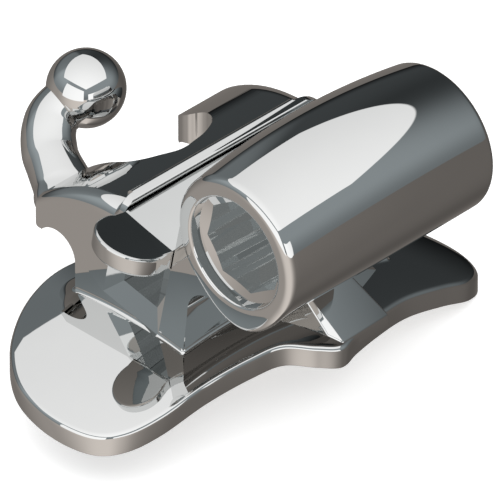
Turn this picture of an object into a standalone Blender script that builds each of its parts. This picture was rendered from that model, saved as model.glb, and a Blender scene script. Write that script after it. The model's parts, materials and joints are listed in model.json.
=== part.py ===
"""Convertible buccal tube for an upper molar: a one-piece steel casting and its slot cap.

The model is built around the axis of the round headgear tube: +X runs along the tube from its
mesial mouth to its distal end, +Y points to the gum side with the hook, +Z points away from the
tooth. The last step moves everything so that the origin is under the middle of the part, at the
level of the lowest point of its bonding pad. Lengths are in metres.
"""

from math import atan2, cos, pi, radians, sin, sqrt, tan

import bmesh
import bpy
from mathutils import Vector

MM = 0.001

# Round headgear tube
TUBE_RADIUS = 0.943 * MM
TUBE_LENGTH = 3.465 * MM
TUBE_CROWN = 0.150 * MM  # how far the buccal gum-side flank bulges past the plain radius
RIM_ROUND = 0.105 * MM
MOUTH_RADIUS = 0.762 * MM
MOUTH_DEPTH = 0.190 * MM  # length of the flared mouth ahead of the eight-sided lumen
LUMEN_ACROSS_FLATS = 1.150 * MM
LUMEN_CORNER_ANGLE = radians(-10.5)
LIP_DROP = 0.160 * MM  # lip under the mouth, where the front wall runs into the tube
LIP_LENGTH = 0.650 * MM
LIP_ANGLE = radians(-96)
LIP_SPREAD = radians(34)

# Slot and its cap, laid out in a frame turned about the tube axis by the torque angle
TORQUE = radians(11.5)
CAP_WIDTH = 0.842 * MM
CAP_THICKNESS = 0.240 * MM
CAP_LEVEL = -0.678 * MM  # top of the cap, along the turned Z
CAP_LENGTH = 3.400 * MM
CAP_CLEARANCE = 0.012 * MM
TAB_LENGTH = 0.780 * MM
TAB_RISE = radians(14)
SLOT_WIDTH = 0.572 * MM
SLOT_DEPTH = 0.900 * MM  # below the cap's ledge
SLOT_SHIFT = 0.050 * MM  # middle of the slot, gumwards of the middle of the cap
FUNNEL_SIDE = 0.185 * MM
FUNNEL_DROP = 0.245 * MM
FUNNEL_DEPTH = 0.125 * MM
LAND_RADIUS = 0.085 * MM  # rounded land along the cap's gum-side edge
LAND_RISE = 0.103 * MM
WEB_INSET = 0.041 * MM  # how far the web's face stands inside the tube's side

# Body between the pad, the tube and the wings
BODY_FRONT = 0.030 * MM
BODY_LENGTH = 3.480 * MM
WALL_Y = 0.870 * MM  # occlusal side wall of the body
ARCH_RADIUS = 0.380 * MM  # concave arch from that wall to the underside of the tube
WAIST_Y = 2.655 * MM  # gum-side wall, under the wings
SADDLE_SLOPE = radians(22)
SADDLE_START = 0.030 * MM  # the saddle starts this far below the top of the land
UNDERCUT_RADIUS = 0.330 * MM
WING_REACH = 3.330 * MM
WING_TIP_HEIGHT = 0.300 * MM
WING_THICKNESS = 0.480 * MM
MESIAL_ROLL = 0.220 * MM  # radius of the rolled edge at the land; it halves towards the wing's tip
DISTAL_ROLL = 0.400 * MM
NOTCH_DEPTH = 0.940 * MM  # how far the notch between the wings reaches in from their tips
NOTCH_X = 1.800 * MM  # where it is deepest
REAR_LIP_X = 2.360 * MM  # the rear wing's lip, hooked back over the notch

# Bonding pad, bowed both ways to sit on a molar's face
PAD_THICKNESS = 0.300 * MM
PAD_LEVEL = -1.761 * MM  # top of the dome
PAD_TOP_X = 0.950 * MM
PAD_TOP_Y = 1.810 * MM
PAD_BOW_X = 7.600 * MM  # radius of the bow along the tube
PAD_BOW_Y = 5.700 * MM  # radius of the bow across it
PAD_EDGE_ROUND = 0.060 * MM
FOOT_FILLET = 0.100 * MM  # fillet where the body stands on the pad

# Buttress from the body's wall down to the cusp of the pad
BUTTRESS_X = 1.690 * MM
BUTTRESS_TOP = 0.590 * MM
BUTTRESS_CREST = 0.380 * MM  # width at the top
BUTTRESS_FOOT = 1.300 * MM  # width on the pad, at the body's wall
CUSP_X = 1.680 * MM
CUSP_Y = -0.160 * MM

# Ball hook on the mesial wing
HOOK_WIDTH = 0.740 * MM
HOOK_NECK = 0.700 * MM
BALL_RADIUS = 0.486 * MM
BALL_X = 1.600 * MM
BALL_Y = 4.090 * MM
BALL_Z = -0.420 * MM

TUBE_SIDES = 56
TUBE_STEPS = 14
PAD_STEPS = 5
PAD_RINGS = 6
ARC_STEPS = 8

STEEL_COLOUR = (0.62, 0.62, 0.61, 1.0)
CAP_COLOUR = (0.70, 0.71, 0.70, 1.0)


def clear_scene():
    for item in list(bpy.data.objects):
        bpy.data.objects.remove(item, do_unlink=True)


def new_collection(name):
    collection = bpy.data.collections.new(name)
    bpy.context.scene.collection.children.link(collection)
    return collection


def steel(name, colour, roughness):
    material = bpy.data.materials.new(name)
    material.use_nodes = True
    surface = material.node_tree.nodes["Principled BSDF"]
    surface.inputs["Base Color"].default_value = colour
    surface.inputs["Roughness"].default_value = roughness
    surface.inputs["Metallic"].default_value = 1.0
    material.diffuse_color = colour
    return material


def arc(centre, radius, start, end, steps=ARC_STEPS):
    """Points of an arc in a flat outline, both ends included."""
    turn = (end - start) / steps
    return [
        (centre[0] + radius * cos(start + turn * i), centre[1] + radius * sin(start + turn * i))
        for i in range(steps + 1)
    ]


def smooth_loop(points, steps):
    """A closed curve through the points, with this many steps from each to the next."""
    count = len(points)
    loop = []
    for i in range(count):
        before, here, after, beyond = (Vector(points[(i + k) % count]) for k in (-1, 0, 1, 2))
        for step in range(steps):
            u = step / steps
            loop.append(
                0.5
                * (
                    2 * here
                    + (after - before) * u
                    + (2 * before - 5 * here + 4 * after - beyond) * u * u
                    + (3 * here - before - 3 * after + beyond) * u * u * u
                )
            )
    return loop


def torqued(across, up):
    """A point of the turned slot frame as (y, z)."""
    return (across * cos(TORQUE) - up * sin(TORQUE), across * sin(TORQUE) + up * cos(TORQUE))


def dome(x, y):
    """Height of the pad's outer face."""
    return PAD_LEVEL - (x - PAD_TOP_X) ** 2 / (2 * PAD_BOW_X) - (y - PAD_TOP_Y) ** 2 / (2 * PAD_BOW_Y)


def finish_mesh(name, mesh, collection):
    """Close a bmesh into an object whose faces point out."""
    bmesh.ops.recalc_face_normals(mesh, faces=mesh.faces)
    data = bpy.data.meshes.new(name)
    mesh.to_mesh(data)
    mesh.free()
    data.shade_smooth()
    data.set_sharp_from_angle(angle=radians(30))
    item = bpy.data.objects.new(name, data)
    collection.objects.link(item)
    return item


def loft(name, rings, collection, round_trip=False):
    """A solid skinned over rings of equally many points, closed by a fan at each end or on itself."""
    mesh = bmesh.new()
    rows = [[mesh.verts.new(point) for point in ring] for ring in rings]
    pairs = list(zip(rows, rows[1:]))
    if round_trip:
        pairs.append((rows[-1], rows[0]))
    for row, following in pairs:
        for i in range(len(row)):
            j = (i + 1) % len(row)
            mesh.faces.new((row[i], row[j], following[j], following[i]))
    for row in () if round_trip else (rows[0], rows[-1]):
        middle = mesh.verts.new(sum((vert.co for vert in row), Vector()) / len(row))
        for i in range(len(row)):
            mesh.faces.new((row[i], row[(i + 1) % len(row)], middle))
    return finish_mesh(name, mesh, collection)


def prism(name, outline, direction, collection):
    """A flat outline of 3D points carried along a direction."""
    mesh = bmesh.new()
    face = mesh.faces.new([mesh.verts.new(point) for point in outline])
    side = bmesh.ops.extrude_face_region(mesh, geom=[face])["geom"]
    moved = [item for item in side if isinstance(item, bmesh.types.BMVert)]
    bmesh.ops.translate(mesh, verts=moved, vec=direction)
    return finish_mesh(name, mesh, collection)


def add_boolean(target, tool, operation):
    step = target.modifiers.new(tool.name, "BOOLEAN")
    step.operation = operation
    step.object = tool
    step.solver = "EXACT"


def hide_tools(collection):
    for tool in collection.objects:
        tool.hide_render = True
        tool.display_type = "WIRE"


def web_across():
    """The web's face, beside the cap, as a distance across the turned frame."""
    return TUBE_RADIUS - WEB_INSET


def cap_middle():
    return web_across() + CAP_WIDTH / 2


def ledge_level():
    return CAP_LEVEL - CAP_THICKNESS - CAP_CLEARANCE


def slot_sides():
    middle = cap_middle() + SLOT_SHIFT
    return middle - SLOT_WIDTH / 2, middle + SLOT_WIDTH / 2


def land_centre():
    across = web_across() + CAP_WIDTH + CAP_CLEARANCE + LAND_RADIUS
    return torqued(across, CAP_LEVEL + LAND_RISE - LAND_RADIUS)


def body_outline():
    """Front view of the body as (y, z): arch, web, slot, land, saddle, wing and waist."""
    under_pad = dome(BODY_FRONT, WALL_Y) - PAD_THICKNESS / 2
    arch_y = WALL_Y - ARCH_RADIUS
    arch_z = -sqrt((TUBE_RADIUS + ARCH_RADIUS) ** 2 - arch_y**2)
    outline = [(WALL_Y, under_pad)]
    outline += arc((arch_y, arch_z), ARCH_RADIUS, 0, atan2(-arch_z, -arch_y))
    outline += [(0, -TUBE_RADIUS / 2), torqued(web_across() - CAP_CLEARANCE, 0)]

    near, far = slot_sides()
    floor = ledge_level() - SLOT_DEPTH
    cap_edge = web_across() + CAP_WIDTH + CAP_CLEARANCE
    outline.append(torqued(web_across() - CAP_CLEARANCE, ledge_level()))
    outline += [torqued(near, ledge_level()), torqued(near, floor)]
    outline += [torqued(far, floor), torqued(far, ledge_level())]
    outline.append(torqued(cap_edge, ledge_level()))
    outline += arc(land_centre(), LAND_RADIUS, pi + TORQUE, radians(40))

    saddle_y = land_centre()[0] + LAND_RADIUS
    tip_top = saddle_top(WING_REACH) - SADDLE_START
    tip_round = WING_TIP_HEIGHT / 2
    tip_centre = (WING_REACH - tip_round, tip_top - tip_round / 2)
    outline.append((saddle_y, saddle_top(saddle_y) - SADDLE_START))
    outline += arc(tip_centre, tip_round, pi / 2 - SADDLE_SLOPE, 0, 4)
    lip = tip_top - WING_THICKNESS
    outline += [(WING_REACH + 0.02 * MM, lip + 0.06 * MM), (WING_REACH - 0.06 * MM, lip)]
    undercut = (WAIST_Y + UNDERCUT_RADIUS, lip - 0.19 * MM)
    outline += arc(undercut, UNDERCUT_RADIUS, radians(42), pi)
    outline.append((WAIST_Y, dome(BODY_FRONT, WAIST_Y) - PAD_THICKNESS / 2))
    return outline


def build_body(collection):
    outline = [(BODY_FRONT, y, z) for y, z in body_outline()]
    return prism("tube_casting", outline, (BODY_LENGTH - BODY_FRONT, 0, 0), collection)


def build_plan(collection):
    """Outline of the wings seen from the buccal side, which trims the body."""
    outside = -0.5 * MM
    tip = WING_REACH
    deep = WING_REACH - NOTCH_DEPTH
    run = [
        (outside, outside),
        (outside, tip + 0.10 * MM),
        (0.30 * MM, tip + 0.08 * MM),
        (0.62 * MM, tip + 0.02 * MM),
        (0.82 * MM, tip - 0.13 * MM),
        (NOTCH_X - 0.86 * MM, deep + 0.62 * MM),
        (NOTCH_X - 0.58 * MM, deep + 0.27 * MM),
        (NOTCH_X - 0.30 * MM, deep + 0.06 * MM),
        (NOTCH_X, deep),
        (NOTCH_X + 0.32 * MM, deep + 0.09 * MM),
        (REAR_LIP_X + 0.03 * MM, deep + 0.38 * MM),
        (REAR_LIP_X + 0.10 * MM, deep + 0.57 * MM),
        (REAR_LIP_X + 0.07 * MM, deep + 0.70 * MM),
        (REAR_LIP_X, deep + 0.78 * MM),
        (REAR_LIP_X + 0.05 * MM, tip - 0.08 * MM),
        (REAR_LIP_X + 0.25 * MM, tip),
        (BODY_LENGTH - 0.30 * MM, tip - 0.03 * MM),
        (BODY_LENGTH - 0.08 * MM, tip - 0.20 * MM),
        (BODY_LENGTH + 0.04 * MM, tip - 0.60 * MM),
        (BODY_LENGTH + 0.10 * MM, tip - 1.40 * MM),
        (BODY_LENGTH + 0.10 * MM, outside),
    ]
    below = -3 * MM
    points = [(point.x, point.y, below) for point in smooth_loop([Vector(knot) for knot in run], 4)]
    return prism("plan_trim", points, (0, 0, -2 * below), collection)


def saddle_top(y):
    """Height of the land and of the saddle beyond it."""
    crest = land_centre()[1] + LAND_RADIUS
    return crest - max(0.0, y - land_centre()[0] - LAND_RADIUS / 2) * tan(SADDLE_SLOPE)


def roll_cutter(name, x, inwards, radius, collection):
    """Cutter that rolls the saddle's edge down at one end, less and less towards the wing's tip."""
    past = 0.3 * MM
    above = 0.8 * MM
    start = land_centre()[0] - 2 * LAND_RADIUS
    rings = []
    for share in (0, 0.17, 0.30, 0.55, 1.0):
        y = start + (WING_REACH + past - start) * share
        top = saddle_top(y) - SADDLE_START * min(1, share / 0.17)
        roll = radius * (1 - 0.5 * min(1, max(0, share - 0.17) / 0.38))
        centre = (x + inwards * roll, top - roll)
        outline = arc(centre, roll, pi / 2, pi if inwards > 0 else 0)
        outline += [(x - inwards * past, top - roll), (x - inwards * past, top + above)]
        outline.append((centre[0], top + above))
        rings.append([(px, y, pz) for px, pz in outline])
    return loft(name, rings, collection)


def tube_ring(x, inset):
    """One ring of the tube's outside. Its gum-side flank is crowned and its mouth has a lip."""
    share = (x - TUBE_LENGTH / 2) / (0.53 * TUBE_LENGTH)
    crown = TUBE_CROWN * max(0.0, 1 - share * share)
    fade = max(0.0, 1 - x / LIP_LENGTH) ** 2
    radius = TUBE_RADIUS + crown / 2 - inset
    shift = crown / 2 / sqrt(2)
    ring = []
    for i in range(TUBE_SIDES):
        angle = 2 * pi * i / TUBE_SIDES
        away = (angle - LIP_ANGLE + pi) % (2 * pi) - pi
        bulge = LIP_DROP * fade * max(0.0, cos(min(pi / 2, abs(away) / LIP_SPREAD * pi / 3))) ** 2
        reach = radius + bulge
        ring.append((x, shift + reach * cos(angle), shift + reach * sin(angle)))
    return ring


def build_tube(collection):
    rings = []
    for i in range(5):
        turn = pi / 2 * i / 4
        rings.append(tube_ring(RIM_ROUND * (1 - cos(turn)), RIM_ROUND * (1 - sin(turn))))
    first = RIM_ROUND
    span = TUBE_LENGTH - 2 * RIM_ROUND
    for i in range(1, TUBE_STEPS):
        rings.append(tube_ring(first + span * i / TUBE_STEPS, 0))
    for i in range(5):
        turn = pi / 2 * (1 - i / 4)
        rings.append(tube_ring(TUBE_LENGTH - RIM_ROUND * (1 - cos(turn)), RIM_ROUND * (1 - sin(turn))))
    return loft("headgear_tube", rings, collection)


def circle(x, radius, sides, first=0.0):
    return [
        (x, radius * cos(first + 2 * pi * i / sides), radius * sin(first + 2 * pi * i / sides))
        for i in range(sides)
    ]


def build_lumen(collection):
    corner = LUMEN_ACROSS_FLATS / 2 / cos(pi / 8)
    past = 0.2 * MM
    rings = [circle(x, corner, 8, LUMEN_CORNER_ANGLE) for x in (-past, TUBE_LENGTH + past)]
    return loft("lumen_cut", rings, collection)


def build_mouth(collection):
    """Quarter-round flare from the mouth down to the lumen."""
    end = LUMEN_ACROSS_FLATS / 2 - 0.03 * MM
    rings = [circle(-0.05 * MM, MOUTH_RADIUS + 0.02 * MM, TUBE_SIDES)]
    for i in range(ARC_STEPS + 1):
        turn = pi / 2 * i / ARC_STEPS
        radius = MOUTH_RADIUS - (MOUTH_RADIUS - end) * (1 - cos(turn))
        rings.append(circle(MOUTH_DEPTH * sin(turn), radius, TUBE_SIDES))
    return loft("mouth_cut", rings, collection)


def build_funnel(collection):
    """Flared mouth of the slot."""
    near, far = slot_sides()
    floor = ledge_level() - SLOT_DEPTH
    rings = []
    for x, spread in ((-0.05 * MM, 1.0), (BODY_FRONT, 1.0), (BODY_FRONT + FUNNEL_DEPTH, 0.0)):
        sides = FUNNEL_SIDE * spread
        low = floor - FUNNEL_DROP * spread
        corners = [(near - sides, low), (far + sides, low)]
        corners += [(far + sides, ledge_level() - 0.02 * MM), (near - sides, ledge_level() - 0.02 * MM)]
        rings.append([(x, *torqued(across, up)) for across, up in corners])
    return loft("funnel_cut", rings, collection)


def pad_outline():
    """Peanut outline of the pad with its cusp under the tube, as (x, y)."""
    return [
        Vector((x * MM, y * MM))
        for x, y in (
            (-1.68, 1.42),
            (-1.58, 0.84),
            (-1.28, 0.53),
            (-0.80, 0.38),
            (-0.10, 0.34),
            (0.60, 0.28),
            (1.05, 0.18),
            (1.40, -0.05),
        )
    ] + [Vector((CUSP_X, CUSP_Y))] + [
        Vector((x * MM, y * MM))
        for x, y in (
            (2.00, -0.08),
            (2.45, 0.03),
            (3.10, 0.17),
            (3.80, 0.24),
            (4.30, 0.29),
            (4.62, 0.50),
            (4.66, 0.90),
            (4.40, 1.50),
            (4.02, 2.20),
            (3.50, 2.78),
            (2.90, 2.98),
            (2.20, 2.92),
            (1.50, 2.90),
            (0.90, 3.05),
            (0.30, 3.22),
            (-0.20, 3.16),
            (-0.70, 2.94),
            (-1.20, 2.56),
            (-1.55, 2.05),
        )
    ]


def outward(loop):
    """Unit normals of a closed flat loop that runs anticlockwise."""
    count = len(loop)
    normals = []
    for i in range(count):
        along = (loop[(i + 1) % count] - loop[i - 1]).normalized()
        normals.append(Vector((along.y, -along.x)))
    return normals


def build_pad(collection):
    edge = smooth_loop(pad_outline(), PAD_STEPS)
    normals = outward(edge)
    middle = Vector((PAD_TOP_X + 0.55 * MM, PAD_TOP_Y - 0.25 * MM))

    def ring(share, inset, drop):
        points = []
        for point, normal in zip(edge, normals):
            moved = point - normal * inset
            flat = middle + (moved - middle) * share
            points.append((flat.x, flat.y, dome(flat.x, flat.y) - drop))
        return points

    shares = [(i + 1) / PAD_RINGS for i in range(PAD_RINGS)]
    rings = [ring(share, PAD_EDGE_ROUND, 0) for share in shares]
    for i in range(1, 4):
        turn = pi / 2 * i / 3
        rings.append(ring(1, PAD_EDGE_ROUND * (1 - sin(turn)), PAD_EDGE_ROUND * (1 - cos(turn))))
    rings.append(ring(1, 0, PAD_THICKNESS))
    rings += [ring(share, 0, PAD_THICKNESS) for share in reversed(shares[:-1])]
    return loft("bonding_pad", rings, collection)


def build_foot(collection):
    """Concave fillet round the body's foot on the pad."""
    low_x = BODY_FRONT
    high_x = BODY_LENGTH
    corner = 0.02 * MM
    foot = []
    for x, y, start in (
        (high_x - corner, WAIST_Y - corner, 0),
        (low_x + corner, WAIST_Y - corner, pi / 2),
        (low_x + corner, WALL_Y + corner, pi),
        (high_x - corner, WALL_Y + corner, 3 * pi / 2),
    ):
        foot += arc((x, y), corner, start, start + pi / 2, 3)
    spaced = []
    for i, point in enumerate(foot):
        here = Vector(point)
        after = Vector(foot[(i + 1) % len(foot)])
        parts = max(1, round((after - here).length / (0.35 * MM)))
        spaced += [here + (after - here) * part / parts for part in range(parts)]
    normals = outward(spaced)

    def ring(out, height):
        points = []
        for point, normal in zip(spaced, normals):
            flat = point + normal * out
            points.append((flat.x, flat.y, dome(flat.x, flat.y) + height))
        return points

    sunk = -PAD_THICKNESS / 3
    rings = [ring(FOOT_FILLET, sunk)]
    for i in range(6):
        turn = pi / 2 * i / 5
        rings.append(ring(FOOT_FILLET * (1 - sin(turn)), FOOT_FILLET * (1 - cos(turn))))
    rings += [ring(-corner / 2, FOOT_FILLET), ring(-corner / 2, sunk)]
    return loft("foot_fillet", rings, collection, round_trip=True)


def build_buttress(collection):
    """Sloping web from the body's wall down to the cusp of the pad."""
    inside = WALL_Y + 0.1 * MM
    sunk = PAD_THICKNESS / 2
    far = BUTTRESS_X + BUTTRESS_FOOT
    crest = dome(BUTTRESS_X, WALL_Y) + BUTTRESS_TOP
    corners = [(BUTTRESS_X, inside, crest), (BUTTRESS_X + BUTTRESS_CREST, inside, crest)]
    for x, y in (
        (BUTTRESS_X, CUSP_Y + 0.04 * MM),
        (BUTTRESS_X - 0.14 * MM, CUSP_Y + 0.21 * MM),
        (BUTTRESS_X + 0.76 * MM, CUSP_Y + 0.17 * MM),
        (far, WALL_Y - 0.25 * MM),
    ):
        corners += [(x, y, dome(x, y) + 0.01 * MM), (x, y, dome(x, y) - sunk)]
    for x in (BUTTRESS_X - 0.14 * MM, far):
        corners.append((x, inside, dome(x, inside) - sunk))
    mesh = bmesh.new()
    for corner in corners:
        mesh.verts.new(corner)
    bmesh.ops.convex_hull(mesh, input=mesh.verts)
    return finish_mesh("buttress", mesh, collection)


def build_hook(collection):
    """Tapered arm of the hook, as a curve that thins towards the ball."""
    tip_z = saddle_top(WING_REACH)
    route = (
        (0.46 * MM, WING_REACH - 0.45 * MM, tip_z - 0.24 * MM, HOOK_WIDTH),
        (0.54 * MM, WING_REACH + 0.05 * MM, tip_z - 0.20 * MM, HOOK_WIDTH),
        (0.69 * MM, WING_REACH + 0.38 * MM, tip_z - 0.13 * MM, HOOK_WIDTH),
        (0.80 * MM, WING_REACH + 0.56 * MM, tip_z - 0.06 * MM, HOOK_WIDTH),
        (0.96 * MM, WING_REACH + 0.72 * MM, tip_z + 0.03 * MM, (HOOK_WIDTH + HOOK_NECK) / 2),
        (1.16 * MM, WING_REACH + 0.80 * MM, tip_z + 0.13 * MM, HOOK_NECK),
        (BALL_X, BALL_Y, BALL_Z, HOOK_NECK),
    )
    data = bpy.data.curves.new("hook_arm", "CURVE")
    data.dimensions = "3D"
    data.bevel_depth = HOOK_WIDTH / 2
    data.bevel_resolution = 6
    data.resolution_u = 4
    data.use_fill_caps = True
    spline = data.splines.new("BEZIER")
    spline.bezier_points.add(len(route) - 1)
    for knot, (x, y, z, width) in zip(spline.bezier_points, route):
        knot.co = (x, y, z)
        knot.radius = width / HOOK_WIDTH
        knot.handle_left_type = "AUTO"
        knot.handle_right_type = "AUTO"
    wire = bpy.data.objects.new("hook_wire", data)
    collection.objects.link(wire)
    bpy.context.view_layer.update()
    evaluated = wire.evaluated_get(bpy.context.evaluated_depsgraph_get())
    mesh = bmesh.new()
    mesh.from_mesh(bpy.data.meshes.new_from_object(evaluated))
    bmesh.ops.remove_doubles(mesh, verts=mesh.verts, dist=0.001 * MM)
    arm = finish_mesh("hook_arm", mesh, collection)
    arm.matrix_world = wire.matrix_world
    bpy.data.objects.remove(wire, do_unlink=True)
    return arm


def build_ball(collection):
    mesh = bmesh.new()
    bmesh.ops.create_uvsphere(mesh, u_segments=32, v_segments=18, radius=BALL_RADIUS)
    ball = finish_mesh("hook_ball", mesh, collection)
    ball.location = (BALL_X, BALL_Y, BALL_Z)
    return ball


def build_cap(collection):
    """Slot cap: a flat strip whose mesial end is a round tab bent up for the pliers."""
    half = CAP_WIDTH / 2
    straight = half - TAB_LENGTH
    outline = [(CAP_LENGTH, -half), (CAP_LENGTH, half), (straight, half)]
    outline += arc((straight, 0), half, pi / 2, 3 * pi / 2, 20)[1:]
    middle = cap_middle()
    mesh = bmesh.new()
    face = mesh.faces.new([mesh.verts.new((x, y, CAP_LEVEL)) for x, y in outline])
    side = bmesh.ops.extrude_face_region(mesh, geom=[face])["geom"]
    moved = [item for item in side if isinstance(item, bmesh.types.BMVert)]
    bmesh.ops.translate(mesh, verts=moved, vec=(0, 0, -CAP_THICKNESS))
    everything = list(mesh.verts) + list(mesh.edges) + list(mesh.faces)
    bmesh.ops.bisect_plane(mesh, geom=everything, plane_co=(0, 0, 0), plane_no=(1, 0, 0))
    for vert in mesh.verts:
        vert.co.z += max(0.0, -vert.co.x) * tan(TAB_RISE)
        vert.co.y += middle
        vert.co.y, vert.co.z = torqued(vert.co.y, vert.co.z)
    return finish_mesh("slot_cap", mesh, collection)


def world_box(items):
    """Lowest and highest corners of the finished solids."""
    bpy.context.view_layer.update()
    graph = bpy.context.evaluated_depsgraph_get()
    points = []
    for item in items:
        evaluated = item.evaluated_get(graph)
        mesh = evaluated.to_mesh()
        points += [item.matrix_world @ vert.co for vert in mesh.vertices]
        evaluated.to_mesh_clear()
    low = Vector(min(point[i] for point in points) for i in range(3))
    high = Vector(max(point[i] for point in points) for i in range(3))
    return low, high


def main():
    clear_scene()
    parts = new_collection("buccal_tube")
    tools = new_collection("cutters")

    casting = build_body(parts)
    for tool, operation in (
        (build_plan(tools), "INTERSECT"),
        (roll_cutter("mesial_roll_cut", BODY_FRONT, 1, MESIAL_ROLL, tools), "DIFFERENCE"),
        (roll_cutter("distal_roll_cut", BODY_LENGTH, -1, DISTAL_ROLL, tools), "DIFFERENCE"),
        (build_pad(tools), "UNION"),
        (build_foot(tools), "UNION"),
        (build_buttress(tools), "UNION"),
        (build_tube(tools), "UNION"),
        (build_hook(tools), "UNION"),
        (build_ball(tools), "UNION"),
        (build_lumen(tools), "DIFFERENCE"),
        (build_mouth(tools), "DIFFERENCE"),
        (build_funnel(tools), "DIFFERENCE"),
    ):
        add_boolean(casting, tool, operation)
    casting.data.materials.append(steel("polished_steel", STEEL_COLOUR, 0.12))
    cap = build_cap(parts)
    cap.data.materials.append(steel("cap_steel", CAP_COLOUR, 0.10))
    hide_tools(tools)

    frame = bpy.data.objects.new("frame", None)
    parts.objects.link(frame)
    low, high = world_box((casting, cap))
    for item in list(parts.objects) + list(tools.objects):
        if item is not frame:
            item.parent = frame
    frame.location = (-(low.x + high.x) / 2, -(low.y + high.y) / 2, -low.z)


main()
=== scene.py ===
"""Looks of a convertible buccal tube: polished casting, brazed slot cap, floor, studio and camera.

The forms are laid out round the mouth of the headgear tube, as the part itself is: X runs along the
tube, Y to the gum side with the hook, Z away from the tooth. The slot cap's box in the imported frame
tells where that point lies.
"""

import json
from math import asin, atan2, cos, pi, radians, sin, sqrt, tan

import bmesh
import bpy
from bpy.props import FloatProperty, FloatVectorProperty, PointerProperty
from mathutils import Matrix, Vector

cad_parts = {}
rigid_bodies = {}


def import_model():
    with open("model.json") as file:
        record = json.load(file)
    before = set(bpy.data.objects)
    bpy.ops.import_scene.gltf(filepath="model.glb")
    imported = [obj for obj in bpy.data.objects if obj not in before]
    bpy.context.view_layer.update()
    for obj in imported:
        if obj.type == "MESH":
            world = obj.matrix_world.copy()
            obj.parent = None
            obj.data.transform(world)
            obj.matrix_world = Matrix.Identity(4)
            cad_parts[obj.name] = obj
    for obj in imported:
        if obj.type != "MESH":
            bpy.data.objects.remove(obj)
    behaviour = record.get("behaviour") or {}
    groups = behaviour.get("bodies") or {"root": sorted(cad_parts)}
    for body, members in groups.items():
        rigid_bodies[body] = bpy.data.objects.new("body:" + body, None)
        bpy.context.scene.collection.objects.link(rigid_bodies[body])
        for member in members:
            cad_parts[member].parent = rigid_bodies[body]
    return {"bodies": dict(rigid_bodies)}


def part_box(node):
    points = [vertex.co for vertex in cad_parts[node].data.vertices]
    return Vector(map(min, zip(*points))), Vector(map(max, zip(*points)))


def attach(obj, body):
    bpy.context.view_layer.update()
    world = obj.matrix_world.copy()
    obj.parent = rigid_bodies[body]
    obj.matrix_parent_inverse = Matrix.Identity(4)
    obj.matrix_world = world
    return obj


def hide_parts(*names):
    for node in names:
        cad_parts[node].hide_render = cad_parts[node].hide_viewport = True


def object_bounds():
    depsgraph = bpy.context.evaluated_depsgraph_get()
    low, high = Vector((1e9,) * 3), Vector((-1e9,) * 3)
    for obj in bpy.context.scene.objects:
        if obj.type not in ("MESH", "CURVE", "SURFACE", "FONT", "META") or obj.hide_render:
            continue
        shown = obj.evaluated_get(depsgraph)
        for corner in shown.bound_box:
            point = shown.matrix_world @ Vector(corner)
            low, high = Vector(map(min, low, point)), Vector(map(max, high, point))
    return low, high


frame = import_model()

CAD_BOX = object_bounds()
BODY_NAME = next(iter(frame["bodies"]))
MM = 0.001

bl_info = {
    "name": "Buccal Tube",
    "version": (1, 0, 0),
    "blender": (4, 5, 0),
    "location": "3D View > Sidebar > Buccal Tube",
    "description": "Builds a polished buccal tube with its slot cap in a small studio",
    "category": "Add Mesh",
}


def length(name, millimetres, description, least=0.0):
    """A size that the sidebar shows, in the scene's unit of length."""
    return FloatProperty(
        name=name, description=description, default=millimetres * MM, min=least, unit="LENGTH", precision=6
    )


def place(name, millimetres, description):
    """A coordinate, which may be negative."""
    return length(name, millimetres, description, -1.0)


def turn(name, degrees, description):
    return FloatProperty(name=name, description=description, default=radians(degrees), unit="ROTATION")


def shade(name, colour, description):
    return FloatVectorProperty(
        name=name, description=description, default=colour, size=3, min=0.0, max=1.0, subtype="COLOR"
    )


def amount(name, value, description):
    return FloatProperty(name=name, description=description, default=value, min=0.0)


class TubeSizes(bpy.types.PropertyGroup):
    radius: length("Radius", 0.943, "Outer radius of the round headgear tube")
    length: length("Length", 3.465, "From the mesial mouth to the distal end")
    crown: length("Crown", 0.165, "How far the buccal gum-side flank bulges past the radius")
    crown_turn: turn("Crown turn", 75, "Direction of the bulge round the axis")
    rim: length("Rim", 0.105, "Rounding of both rims")
    mouth: length("Mouth", 0.762, "Radius of the flared mouth")
    mouth_depth: length("Mouth depth", 0.200, "Length of the flare ahead of the lumen")
    lumen: length("Lumen", 1.150, "Distance across the flats of the eight-sided lumen")
    lumen_round: length("Lumen corners", 0.030, "Rounding of the lumen's eight corners")
    lumen_turn: turn("Lumen turn", -10.5, "Angle of the lumen's first corner")
    lip_drop: length("Lip", 0.160, "Lip under the mouth, where the front wall runs into the tube")
    lip_length: length("Lip length", 0.650, "How far along the tube the lip fades out")
    lip_turn: turn("Lip turn", -96, "Direction of the lip round the axis")
    lip_spread: turn("Lip spread", 34, "Half width of the lip round the axis")


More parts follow.
